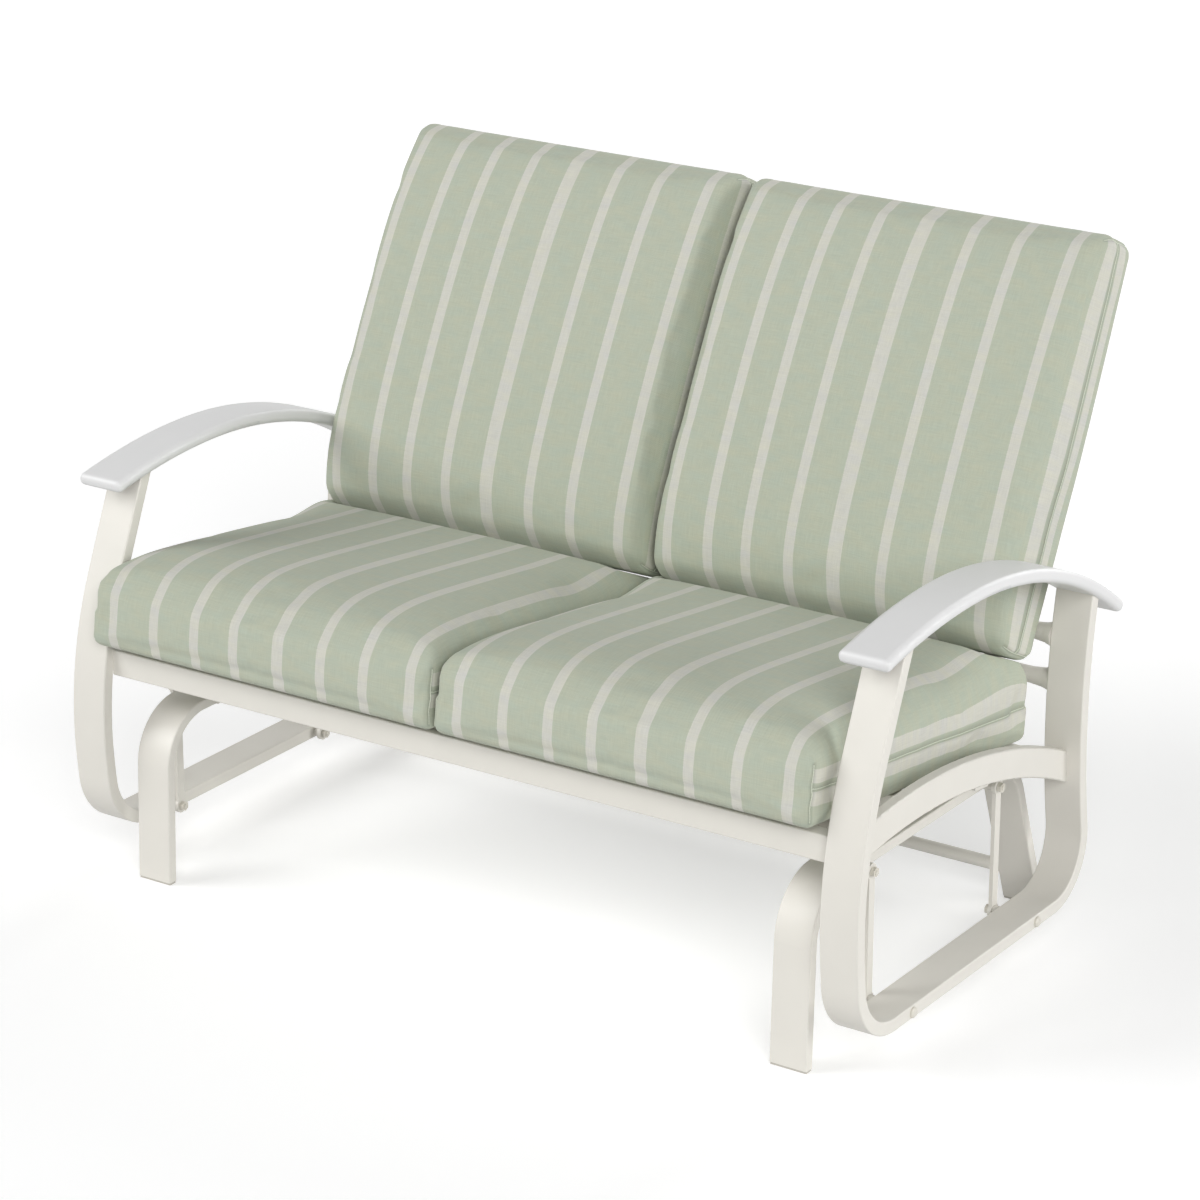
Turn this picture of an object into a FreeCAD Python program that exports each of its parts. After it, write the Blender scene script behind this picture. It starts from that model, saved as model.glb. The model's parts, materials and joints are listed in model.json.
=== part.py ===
import FreeCAD, Part
import math
import os
import Sketcher

# Glider bench with two seats. A fixed base of two bent bars stands on the floor.
# Four flat links hang from it and carry the seat frame: two bent side loops with
# curved arms, arched side rails, a front rail and rear tubes, which hold a slatted
# deck, a ladder back and four loose box cushions. The frame glides forward and back.
#
# Millimetres. +X along the seat, +Y to the back of the bench, +Z up, origin on
# the floor under the middle of the whole bench. Sketches lie in the YZ plane and
# measure Y from the middle of the glide, and each piece's Placement then adds
# glide_middle_y.

SIZES = (
    ("glide_middle_y", -94.0, "Y of the middle of the glide"),
    ("edge_round", 2.5, "rounding along the long edges of the bent bars"),
    ("loop_outer_x", 680.0, "outer edge of the side loops"),
    ("loop_width", 60.0, "width of the loop bar, along X"),
    ("loop_thick", 20.0, "thickness of the loop bar"),
    ("loop_rail_z", 69.0, "centre of the loop's bottom rail"),
    ("loop_front_y", -230.0, "front end of the straight bottom rail"),
    ("loop_rear_y", 227.5, "rear end of the straight bottom rail"),
    ("front_bend_radius", 92.0, "bend from the bottom rail up into the front post"),
    ("front_bend_turn", 84.5, "degrees turned in that bend"),
    ("front_post_run", 30.0, "straight stretch above that bend"),
    ("front_sweep_radius", 572.0, "long sweep of the front post"),
    ("front_sweep_turn", 28.8, "degrees turned in the front sweep"),
    ("rear_bend_radius", 85.0, "bend from the bottom rail up into the rear post"),
    ("rear_bend_turn", 99.5, "degrees turned in that bend"),
    ("rear_sweep_radius", 1000.0, "long sweep of the rear post"),
    ("rear_sweep_turn", 19.8, "degrees turned in the rear sweep"),
    ("arm_overhang", 9.0, "how far the arm stands out beside the loop bar"),
    ("arm_thick", 20.0, "thickness of the arm"),
    ("arm_crown_y", -59.0, "highest point of the arm"),
    ("arm_crown_z", 633.5, "height of the arm's middle at its highest point"),
    ("arm_front_radius", 1045.0, "curve of the arm in front of the crown"),
    ("arm_front_reach", 231.0, "from the crown forward to the tip"),
    ("arm_rear_radius", 740.0, "curve of the arm behind the crown"),
    ("arm_rear_reach", 445.0, "from the crown back to the tip"),
    ("arm_edge_round", 8.5, "rounding along the arm's edges"),
    ("arm_corner_round", 6.0, "rounded corners of the arm seen from above"),
    ("seat_rail_inset", 23.0, "from the loop's outer edge to the side rail"),
    ("seat_rail_thick", 18.0, "thickness of the side rails, along X"),
    ("seat_rail_height", 45.0, "height of the side rails' section"),
    ("seat_rail_radius", 1035.0, "arch of the side rails' top"),
    ("seat_rail_crown_y", -139.0, "highest point of the arch"),
    ("seat_rail_crown_z", 381.0, "height of the arch"),
    ("front_rail_face_y", -311.0, "front face of the front rail"),
    ("front_rail_depth", 25.0, "depth of the front rail, along Y"),
    ("front_rail_low_z", 321.0, "underside of the front rail"),
    ("front_rail_height", 40.0, "height of the front rail"),
    ("tube_radius", 12.5, "radius of the rear and back tubes"),
    ("weld_flare", 6.5, "how far a tube's weld flares at the post"),
    ("weld_length", 34.0, "length of that flare"),
    ("rear_tube_y", 309.0, "rear cross tubes"),
    ("rear_tube_low_z", 384.3, "height of the lower rear tube"),
    ("rear_tube_high_z", 453.6, "height of the upper rear tube"),
    ("deck_z", 329.8, "top of the seat deck at the middle between the pivots"),
    ("deck_tilt", 7.19, "degrees that the deck falls to the back"),
    ("slat_depth", 38.0, "depth of a deck slat"),
    ("slat_thick", 19.0, "thickness of a deck slat"),
    ("slat_first_y", -250.0, "front deck slat"),
    ("slat_pitch", 160.0, "distance between deck slats"),
    ("upright_width", 30.0, "width of a back upright"),
    ("upright_depth", 14.0, "depth of a back upright"),
    ("upright_inset", 105.0, "from the loop's inner edge to the outer uprights"),
    ("upright_foot_z", 376.0, "lower end of the back uprights"),
    ("upright_bend_z", 437.0, "where the uprights start to lean back"),
    ("upright_bend_radius", 80.0, "bend of the uprights"),
    ("upright_lean", 25.85, "degrees that the back leans"),
    ("upright_run", 395.0, "straight length of an upright above its bend"),
    ("tube_seat_cut", 3.0, "depth of the tubes' seats in the uprights"),
    ("back_tube_first", 90.0, "first back tube, along the upright from its bend"),
    ("back_tube_pitch", 145.0, "distance between back tubes"),
    ("base_clearance", 32.0, "from the loop's inner edge to the base bars"),
    ("base_width", 60.0, "width of the base bar, along X"),
    ("base_thick", 16.5, "thickness of the base bar"),
    ("base_rail_z", 262.0, "centre of the base's top rail"),
    ("base_front_y", -213.0, "front end of the straight top rail"),
    ("base_rear_y", 212.0, "rear end of the straight top rail"),
    ("base_front_radius", 81.5, "bend from the top rail into the front leg"),
    ("base_front_turn", 87.9, "degrees turned in that bend"),
    ("base_rear_radius", 80.0, "bend from the top rail into the rear leg"),
    ("base_rear_turn", 70.1, "degrees turned in that bend"),
    ("base_tube_radius", 10.0, "radius of the base cross tubes"),
    ("base_tube_z", 57.0, "height of the rear base cross tube"),
    ("foot_height", 4.0, "thickness of the foot glides"),
    ("foot_inset", 1.5, "how far a glide stands back from the bar's edge"),
    ("pivot_front_y", -183.0, "front pivots"),
    ("pivot_rear_y", 172.0, "rear pivots"),
    ("link_stand_off", 17.0, "from the base bars out to the links"),
    ("link_thick", 6.0, "thickness of a link"),
    ("link_width", 15.0, "width of a link between its eyes"),
    ("link_eye_radius", 11.5, "round eyes at both ends of a link"),
    ("bolt_radius", 4.0, "shank of the pivot bolts"),
    ("bolt_head_radius", 8.0, "head of the pivot bolts"),
    ("bolt_head_thick", 5.0, "thickness of the bolt heads"),
    ("bolt_gap", 0.25, "clearance of the bolts in the bars and spacers"),
    ("running_fit", 0.07, "clearance of the bolts in the links"),
    ("open_fit", 0.6, "clearance of the rear lower bolts in their links"),
    ("side_gap", 0.3, "gap on each side of a link"),
    ("spacer_radius", 8.0, "outside of the spacers"),
    ("nut_width", 13.0, "pivot nuts across their flats"),
    ("nut_thick", 6.5, "thickness of the pivot nuts"),
    ("bolt_tail", 1.5, "how far a bolt stands out of its nut"),
    ("cushion_side_gap", 10.0, "gap between the cushions and the side loops"),
    ("cushion_split", 6.0, "gap between the left and right cushions"),
    ("cushion_corner", 30.0, "corner radius of a cushion seen from above"),
    ("cushion_draw", 2.0, "how far a cushion's sides are drawn in"),
    ("cushion_round_over", 36.0, "rounding from a cushion's side to its face"),
    ("cushion_corner_growth", 0.25, "how fast the corners widen towards the faces"),
    ("cushion_crown", 7.0, "how far the face domes above its rounding"),
    ("rest_gap", 0.5, "gap under a cushion that lies on the frame"),
    ("seat_cushion_y", -36.5, "middle of the seat cushions"),
    ("seat_cushion_length", 614.0, "seat cushion from front to back"),
    ("seat_cushion_over", 90.0, "height of the face's crown above the seam"),
    ("seat_cushion_under", 58.0, "underside below the seam"),
    ("seat_cushion_rounding", 28.0, "rounding from its sides to its underside"),
    ("seat_cushion_fall", 15.5, "how much lower its face is pressed at the rear"),
    ("back_cushion_length", 608.0, "back cushion from bottom to top"),
    ("back_cushion_over", 84.0, "crown in front of the seam"),
    ("back_cushion_under", 60.0, "back face behind the seam"),
    ("back_cushion_rounding", 50.0, "rounding from its sides to its back face"),
    ("back_cushion_drop", 171.0, "from the lowest back tube down to the cushion's end"),
)


class Size:
    """A number together with the sheet formula that gives it."""

    def __init__(self, value, formula):
        self.value = float(value)
        self.formula = formula

    def __add__(self, other):
        other = size(other)
        return Size(self.value + other.value, f"({self.formula} + {other.formula})")

    def __sub__(self, other):
        other = size(other)
        return Size(self.value - other.value, f"({self.formula} - {other.formula})")

    def __mul__(self, other):
        other = size(other)
        return Size(self.value * other.value, f"({self.formula} * {other.formula})")

    def __truediv__(self, other):
        other = size(other)
        return Size(self.value / other.value, f"({self.formula} / {other.formula})")

    def __neg__(self):
        return Size(-self.value, f"(0 - {self.formula})")

    def __float__(self):
        return self.value


def size(thing):
    """Take a plain number as a Size too."""
    if isinstance(thing, Size):
        return thing
    return Size(thing, f"({thing:.9g})")


def sine(angle):
    return Size(math.sin(math.radians(angle.value)), f"sin({angle.formula} * 1 deg)")


def cosine(angle):
    return Size(math.cos(math.radians(angle.value)), f"cos({angle.formula} * 1 deg)")


def arc_turn(reach, radius):
    """The degrees of an arc that starts level and reaches this far sideways."""
    share = reach / radius
    return Size(math.degrees(math.asin(share.value)), f"(asin({share.formula}) / 1 deg)")


doc = FreeCAD.newDocument("GliderBench")
sheet = doc.addObject("Spreadsheet::Sheet", "Sizes")
for row, (alias, number, note) in enumerate(SIZES, start=1):
    sheet.set(f"A{row}", note)
    sheet.set(f"B{row}", str(number))
    sheet.setAlias(f"B{row}", alias)
doc.recompute()


class Sheet:
    """Each alias of the sheet as a Size."""

    def __getattr__(self, alias):
        return Size(sheet.get(alias), f"Sizes.{alias}")


S = Sheet()
parts = []

loop_x = S.loop_outer_x - S.loop_width / 2
loop_inner_x = S.loop_outer_x - S.loop_width
seat_rail_outer_x = S.loop_outer_x - S.seat_rail_inset
seat_rail_inner_x = seat_rail_outer_x - S.seat_rail_thick
upright_x = loop_inner_x - S.upright_inset
base_outer_x = loop_inner_x - S.base_clearance
base_x = base_outer_x - S.base_width / 2
base_inner_x = base_outer_x - S.base_width
link_inner_x = base_outer_x + S.link_stand_off
link_outer_x = link_inner_x + S.link_thick
bolt_bore = S.bolt_radius + S.bolt_gap
cushion_width = loop_inner_x - S.cushion_side_gap - S.cushion_split / 2
LEVEL = size(0)
UPRIGHT = size(90)
HALF_TURN = size(180)
SIDES = (("left", -1), ("right", 1))
ENDS = (("front", S.pivot_front_y), ("rear", S.pivot_rear_y))


def keep(thing, label):
    """Mark an object as one piece of the bench."""
    thing.Label = label
    parts.append(thing)
    return thing


def place(thing, x=0.0, y=0.0, z=0.0, axis=None, angle=None):
    """Put an object at a point measured from the middle of the glide."""
    if axis is not None:
        turn = FreeCAD.Rotation(FreeCAD.Vector(*axis), float(size(angle)))
        thing.Placement = FreeCAD.Placement(FreeCAD.Vector(0, 0, 0), turn)
        thing.setExpression("Placement.Rotation.Angle", size(angle).formula + " * 1 deg")
    thing.setExpression("Placement.Base.x", size(x).formula)
    thing.setExpression("Placement.Base.y", (S.glide_middle_y + y).formula)
    thing.setExpression("Placement.Base.z", size(z).formula)


def new_body(name):
    return doc.addObject("PartDesign::Body", name)


def new_sketch(body, role):
    """A sketch on one of the body's own origin planes."""
    sketch = body.newObject("Sketcher::SketchObject", "Outline")
    plane = [f for f in body.Origin.OriginFeatures if f.Role == role][0]
    sketch.AttachmentSupport = [(plane, "")]
    sketch.MapMode = "FlatFace"
    return sketch


def datum(sketch, kind, where, value, unit=""):
    """A dimension of the sketch, bound to the sheet."""
    number = math.radians(value.value) if unit else value.value
    index = sketch.addConstraint(Sketcher.Constraint(kind, *where, number))
    sketch.setExpression(f"Constraints[{index}]", value.formula + unit)


def pin_point(sketch, curve, end, across, up):
    """Fix a point of a curve by its two distances from the sketch's origin."""
    for kind, axis, value in (("DistanceX", -2, across), ("DistanceY", -1, up)):
        if abs(value.value) < 1e-9:
            sketch.addConstraint(Sketcher.Constraint("PointOnObject", curve, end, axis))
        else:
            datum(sketch, kind, (-1, 1, curve, end), value)


def walk(start, heading, route):
    """Follow lines and tangent arcs from a point, headings in degrees from +Y to +Z."""
    y, z = start
    steps = []
    for kind, *sizes in route:
        step = {"kind": kind, "start": (y, z), "heading": heading}
        if kind == "arc":
            radius, turn = sizes
            side = 1 if turn.value > 0 else -1
            centre_y = y - sine(heading) * radius * side
            centre_z = z + cosine(heading) * radius * side
            heading = heading + turn
            y = centre_y + sine(heading) * radius * side
            z = centre_z - cosine(heading) * radius * side
            step.update(radius=radius, turn=turn, side=side, centre=(centre_y, centre_z))
        elif kind == "line":
            step.update(length=sizes[0])
            y = y + cosine(heading) * sizes[0]
            z = z + sine(heading) * sizes[0]
        else:
            run = (sizes[0] - z) / sine(heading)
            step.update(height=sizes[0])
            y = y + cosine(heading) * run
            z = sizes[0]
        step.update(end=(y, z), leave=heading)
        steps.append(step)
    return steps


def shifted(point, heading, offset):
    """A point moved square to the heading, to its left."""
    return (point[0] - sine(heading) * offset, point[1] + cosine(heading) * offset)


def draw_side(sketch, steps, offset):
    """Draw a route at a distance to its left. Returns each curve with its two ends."""
    drawn = []
    for step in steps:
        start = shifted(step["start"], step["heading"], offset)
        if step["kind"] == "arc":
            side = step["side"]
            radius = step["radius"] - offset * side
            angles = [math.radians(a.value - 90 * side) for a in (step["heading"], step["leave"])]
            centre = FreeCAD.Vector(step["centre"][0].value, step["centre"][1].value, 0)
            circle = Part.Circle(centre, FreeCAD.Vector(0, 0, 1), radius.value)
            curve = sketch.addGeometry(Part.ArcOfCircle(circle, *angles[::side]))
            ends = (1, 2)[::side]
            datum(sketch, "Radius", (curve,), radius)
            datum(sketch, "Angle", (curve,), step["turn"] * side, " * 1 deg")
        else:
            end = shifted(step["end"], step["leave"], offset)
            if step["kind"] == "line_to":
                run = (step["height"] - start[1]) / sine(step["heading"])
                end = (start[0] + cosine(step["heading"]) * run, step["height"])
            points = [FreeCAD.Vector(p[0].value, p[1].value, 0) for p in (start, end)]
            curve = sketch.addGeometry(Part.LineSegment(*points))
            ends = (1, 2)
            if step["kind"] == "line":
                datum(sketch, "Distance", (curve,), step["length"])
            else:
                datum(sketch, "DistanceY", (-1, 1, curve, 2), step["height"])
        if drawn:
            last = drawn[-1]
            tangent = Sketcher.Constraint("Tangent", last[0], last[2], curve, ends[0])
            sketch.addConstraint(tangent)
        drawn.append((curve, *ends))
    return drawn


def hold_start(sketch, curve, start, step, heading):
    """Fix where a side begins and which way it heads there, level or upright."""
    pin_point(sketch, curve[0], curve[1], *start)
    level = abs(math.sin(math.radians(heading.value))) < 0.5
    if step["kind"] == "arc":
        kind = "Vertical" if level else "Horizontal"
        constraint = Sketcher.Constraint(kind, curve[0], 3, curve[0], curve[1])
    else:
        constraint = Sketcher.Constraint("Horizontal" if level else "Vertical", curve[0])
    sketch.addConstraint(constraint)


def close_gap(sketch, first, second):
    """A straight line between two free ends, each a curve and the number of its end."""
    corners = [sketch.getPoint(*end) for end in (first, second)]
    line = sketch.addGeometry(Part.LineSegment(*corners))
    sketch.addConstraint(Sketcher.Constraint("Coincident", line, 1, *first))
    sketch.addConstraint(Sketcher.Constraint("Coincident", line, 2, *second))
    return line


def draw_route(sketch, start, heading, onward, back, offset):
    """Both branches of a route, drawn at one offset. Returns their two free ends."""
    forward = walk(start, heading, onward)
    drawn = draw_side(sketch, forward, offset)
    first = shifted(start, heading, offset)
    hold_start(sketch, drawn[0], first, forward[0], heading)
    if not back:
        return (drawn[0][0], drawn[0][1]), (drawn[-1][0], drawn[-1][2])
    behind = draw_side(sketch, walk(start, heading + HALF_TURN, back), -offset)
    sketch.addConstraint(
        Sketcher.Constraint("Tangent", drawn[0][0], drawn[0][1], behind[0][0], behind[0][1])
    )
    return (behind[-1][0], behind[-1][2]), (drawn[-1][0], drawn[-1][2])


def pad_sketch(body, sketch, width):
    """Pad a sketch by half the width to each side of its plane."""
    pad = body.newObject("PartDesign::Pad", "Pad")
    pad.Profile = sketch
    pad.SideType = "Symmetric"
    pad.setExpression("Length", width.formula)
    sketch.Visibility = False
    doc.recompute()
    return pad


def strip(name, start, heading, onward, back, above, below, width):
    """A bar that follows a route, with its material above and below the route."""
    body = new_body(name)
    sketch = new_sketch(body, "YZ_Plane")
    upper = draw_route(sketch, start, heading, onward, back, above)
    lower = draw_route(sketch, start, heading, onward, back, -below)
    for first, second in zip(upper, lower):
        close_gap(sketch, first, second)
    pad_sketch(body, sketch, width)
    return body


def round_edges(body, wanted, radius):
    """Fillet the edges of the body's last feature that a test picks."""
    base = body.Tip
    names = [f"Edge{n}" for n, edge in enumerate(base.Shape.Edges, start=1) if wanted(edge)]
    fillet = body.newObject("PartDesign::Fillet", "Round")
    fillet.Base = (base, names)
    fillet.setExpression("Radius", radius.formula)
    doc.recompute()
    return body


def rim_edges(width, shortest):
    """A test for the long edges in the two side planes of a padded bar."""
    half = width.value / 2

    def wanted(edge):
        box = edge.BoundBox
        return box.XLength < 1e-6 and abs(abs(box.XMin) - half) < 1e-6 and edge.Length > shortest

    return wanted


def boolean(kind, base, tool, label):
    """A cut or a common of two objects, as one object of the document."""
    made = doc.addObject(kind, "Trimmed")
    made.Base = base
    made.Tool = tool
    doc.recompute()
    made.Label = label
    return made


def cylinder(name, radius, length, x, y, z):
    """A round bar along +X that starts at x."""
    made = doc.addObject("Part::Cylinder", name)
    made.setExpression("Radius", size(radius).formula)
    made.setExpression("Height", size(length).formula)
    place(made, x, y, z, (0, 1, 0), 90)
    return made


def turned(label, points):
    """A piece turned about the X axis from a profile of (distance along X, radius)."""
    body = new_body("Turned")
    sketch = new_sketch(body, "XZ_Plane")
    corners = [FreeCAD.Vector(float(x), float(r), 0) for x, r in points]
    count = len(corners)
    lines = [
        sketch.addGeometry(Part.LineSegment(corners[n], corners[(n + 1) % count]))
        for n in range(count)
    ]
    for n, (x, r) in enumerate(points):
        sketch.addConstraint(
            Sketcher.Constraint("Coincident", lines[n - 1], 2, lines[n], 1)
        )
        pin_point(sketch, lines[n], 1, size(x), size(r))
    turn = body.newObject("PartDesign::Revolution", "Turn")
    turn.Profile = sketch
    turn.ReferenceAxis = (sketch, ["H_Axis"])
    turn.Angle = 360
    sketch.Visibility = False
    doc.recompute()
    return keep(body, label)


# Side loops: one flat bar each, bent at the front and rear of the bottom rail and
# swept up into the two posts. Both posts are trimmed to the arm's underside.

loop_start = (S.loop_front_y, S.loop_rail_z)
post_top = S.arm_crown_z + S.arm_thick
loop_onward = (
    ("line", S.loop_rear_y - S.loop_front_y),
    ("arc", S.rear_bend_radius, S.rear_bend_turn),
    ("arc", S.rear_sweep_radius, -S.rear_sweep_turn),
    ("line_to", post_top),
)
loop_back = (
    ("arc", S.front_bend_radius, -S.front_bend_turn),
    ("line", S.front_post_run),
    ("arc", S.front_sweep_radius, -S.front_sweep_turn),
    ("line_to", post_top),
)
arm_start = (S.arm_crown_y, S.arm_crown_z)
arm_front_turn = arc_turn(S.arm_front_reach, S.arm_front_radius)
arm_rear_turn = arc_turn(S.arm_rear_reach, S.arm_rear_radius)
arm_width = S.loop_width + S.arm_overhang * 2


def arm_route(extra):
    """The arm's two curves from its crown, each lengthened by extra degrees."""
    onward = (("arc", S.arm_rear_radius, -(arm_rear_turn + extra)),)
    back = (("arc", S.arm_front_radius, arm_front_turn + extra),)
    return onward, back


def arm_trim(x):
    """All the space above the arm's underside, which the posts stop at."""
    onward, back = arm_route(4)
    body = strip(
        "AboveArm", arm_start, LEVEL, onward, back, S.arm_thick * 9, S.arm_thick / 2, arm_width * 2
    )
    place(body, x)
    return body


def side_loop(side, x):
    """A bent side loop with bolt holes through its bottom rail."""
    half = S.loop_thick / 2
    body = strip("Loop", loop_start, LEVEL, loop_onward, loop_back, half, half, S.loop_width)
    round_edges(body, rim_edges(S.loop_width, S.loop_thick.value * 1.5), S.edge_round)
    place(body, x)
    cut = boolean("Part::Cut", body, arm_trim(x), "Trimmed loop")
    for end, y in ENDS:
        reach = S.loop_width * 2
        hole = cylinder("Hole", bolt_bore, reach, x - S.loop_width, y, S.loop_rail_z)
        cut = boolean("Part::Cut", cut, hole, f"{end} hole")
    return keep(cut, f"side_loop_{side}")


def loop_inside(x):
    """The space inside a side loop, which the side rail's ends stop at."""
    body = new_body("Inside")
    sketch = new_sketch(body, "YZ_Plane")
    ends = draw_route(sketch, loop_start, LEVEL, loop_onward, loop_back, S.loop_thick / 2)
    close_gap(sketch, *ends)
    pad_sketch(body, sketch, S.loop_width * 2)
    place(body, x)
    return body


# Arms: a flat curved bar on each loop, rounded all over.


def is_broad(face):
    """Whether a face of the arm is part of its top or underside."""
    box = face.BoundBox
    return box.XLength > arm_width.value - 1e-6 and box.YLength > arm_width.value


def arm(side, x):
    onward, back = arm_route(0)
    half = S.arm_thick / 2
    body = strip("Arm", arm_start, LEVEL, onward, back, half, half, arm_width)
    limit = S.arm_thick.value * 1.5
    rim = rim_edges(arm_width, 0)
    round_edges(body, lambda edge: rim(edge) and edge.Length < limit, S.arm_corner_round)
    shape = body.Tip.Shape

    def wanted(edge):
        faces = shape.ancestorsOfType(edge, Part.Face)
        return sum(is_broad(face) for face in faces) == 1

    round_edges(body, wanted, S.arm_edge_round)
    place(body, x)
    return keep(body, f"arm_{side}")


# Seat rails: an arched rail on each side, its ends against the loop's posts.


def seat_rail(side, x, inside_x):
    crown = (S.seat_rail_crown_y, S.seat_rail_crown_z)
    rear = S.loop_rear_y + S.rear_bend_radius - S.seat_rail_crown_y
    front = S.seat_rail_crown_y - S.loop_front_y + S.front_bend_radius
    onward = (("arc", S.seat_rail_radius, -arc_turn(rear, S.seat_rail_radius)),)
    back = (("arc", S.seat_rail_radius, arc_turn(front, S.seat_rail_radius)),)
    body = strip(
        "Arch", crown, LEVEL, onward, back, size(0), S.seat_rail_height, S.seat_rail_thick
    )
    round_edges(body, rim_edges(S.seat_rail_thick, S.seat_rail_height.value * 1.5), S.edge_round)
    place(body, x)
    made = boolean("Part::Common", body, loop_inside(inside_x), "Trimmed rail")
    return keep(made, f"seat_rail_{side}")


def bar(name, depth, height, length, rounding):
    """A straight bar along X with rounded long edges, about its own middle."""
    body = new_body(name)
    start = (-depth / 2, size(0))
    sketch = new_sketch(body, "YZ_Plane")
    half = height / 2
    upper = draw_route(sketch, start, LEVEL, (("line", depth),), (), half)
    lower = draw_route(sketch, start, LEVEL, (("line", depth),), (), -half)
    for first, second in zip(upper, lower):
        close_gap(sketch, first, second)
    pad_sketch(body, sketch, length)
    return round_edges(body, lambda edge: edge.BoundBox.XLength > length.value / 2, rounding)


def front_rail():
    length = loop_inner_x * 2
    body = bar("FrontRail", S.front_rail_depth, S.front_rail_height, length, S.edge_round)
    middle_y = S.front_rail_face_y + S.front_rail_depth / 2
    place(body, 0, middle_y, S.front_rail_low_z + S.front_rail_height / 2)
    keep(body, "front_rail")


def rear_tube(name, z):
    """A cross tube between the rear posts, flared at both ends by its weld."""
    wide = S.tube_radius + S.weld_flare
    mid = S.tube_radius + S.weld_flare / 3
    knee = loop_inner_x - S.weld_length
    shoulder = loop_inner_x - S.weld_length / 2.5
    half = [(knee, S.tube_radius), (shoulder, mid), (loop_inner_x, wide)]
    rim = [(-x, r) for x, r in reversed(half)] + half
    body = turned(name, [(-loop_inner_x, 0)] + rim + [(loop_inner_x, 0)])
    place(body, 0, S.rear_tube_y, z)


# Deck: flat slats between the side rails, falling to the back.


def deck_slat(number):
    body = bar("Slat", S.slat_depth, S.slat_thick, seat_rail_inner_x * 2, S.edge_round)
    y = S.slat_first_y + S.slat_pitch * number
    drop = sine(S.deck_tilt) / cosine(S.deck_tilt)
    z = S.deck_z - y * drop - S.slat_thick / 2 / cosine(S.deck_tilt)
    place(body, 0, y, z, (-1, 0, 0), S.deck_tilt)
    keep(body, f"deck_slat_{number + 1}")


# Back: uprights behind the rear tubes that lean back above them, and back tubes
# in front of the uprights, all let into the uprights by the tubes' seats.

upright_start = (
    S.rear_tube_y + S.tube_radius - S.tube_seat_cut + S.upright_depth / 2,
    S.upright_foot_z,
)
upright_route = (
    ("line_to", S.upright_bend_z),
    ("arc", S.upright_bend_radius, -S.upright_lean),
    ("line", S.upright_run),
)
upright_top = walk(upright_start, UPRIGHT, upright_route)[2]


def back_tube_place(number):
    """The middle of a back tube, seated in the front of the leaning uprights."""
    along = S.back_tube_first + S.back_tube_pitch * number
    out = S.upright_depth / 2 + S.tube_radius - S.tube_seat_cut
    y, z = upright_top["start"]
    lean = upright_top["heading"]
    foot = (y + cosine(lean) * along, z + sine(lean) * along)
    return shifted(foot, lean, out)


def cross_tubes():
    """Where each tube runs that the uprights hold."""
    rear = [(S.rear_tube_y, S.rear_tube_low_z), (S.rear_tube_y, S.rear_tube_high_z)]
    return rear + [back_tube_place(number) for number in range(3)]


def upright(label, x):
    half = S.upright_depth / 2
    made = strip(
        "Upright", upright_start, UPRIGHT, upright_route, (), half, half, S.upright_width
    )
    round_edges(made, rim_edges(S.upright_width, S.upright_depth.value * 1.5), S.edge_round)
    place(made, x)
    for y, z in cross_tubes():
        seat = cylinder("TubeSeat", S.tube_radius, S.upright_width * 2, x - S.upright_width, y, z)
        made = boolean("Part::Cut", made, seat, "Seated upright")
    keep(made, label)


def back_tube(number):
    y, z = back_tube_place(number)
    reach = upright_x + S.upright_width / 2
    made = cylinder("BackTube", S.tube_radius, reach * 2, -reach, y, z)
    keep(made, f"back_tube_{number + 1}")


# Base: a bent bar on each side with two legs, two cross tubes and foot glides.

base_start = (S.base_front_y, S.base_rail_z)
base_onward = (
    ("line", S.base_rear_y - S.base_front_y),
    ("arc", S.base_rear_radius, -S.base_rear_turn),
    ("line_to", S.foot_height),
)
base_back = (
    ("arc", S.base_front_radius, S.base_front_turn),
    ("line_to", S.foot_height),
)
rear_leg = walk(base_start, LEVEL, base_onward)[-1]
front_leg = walk(base_start, HALF_TURN, base_back)[-1]


def base_side(side, x):
    half = S.base_thick / 2
    body = strip("BaseBar", base_start, LEVEL, base_onward, base_back, half, half, S.base_width)
    round_edges(body, rim_edges(S.base_width, S.base_thick.value * 2), S.edge_round)
    place(body, x)
    made = body
    for end, y in ENDS:
        reach = S.base_width * 2
        hole = cylinder("Hole", bolt_bore, reach, x - S.base_width, y, S.base_rail_z)
        made = boolean("Part::Cut", made, hole, f"{end} hole")
    keep(made, f"base_side_{side}")


def base_tube(label, y, z):
    made = cylinder("BaseTube", S.base_tube_radius, base_inner_x * 2, -base_inner_x, y, z)
    keep(made, label)


def foot_glide(label, x, leg):
    """A plastic glide under a leg, as deep as the leg's cut end."""
    depth = S.base_thick / sine(leg["leave"]) * (-1) - S.foot_inset * 2
    width = S.base_width - S.foot_inset * 2
    body = bar("Glide", depth, S.foot_height, width, S.foot_height / 5)
    place(body, x, leg["end"][0], S.foot_height / 2)
    keep(body, label)


# Pivots: flat links on bolts, with a spacer and a nut on either side of each link.

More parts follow.
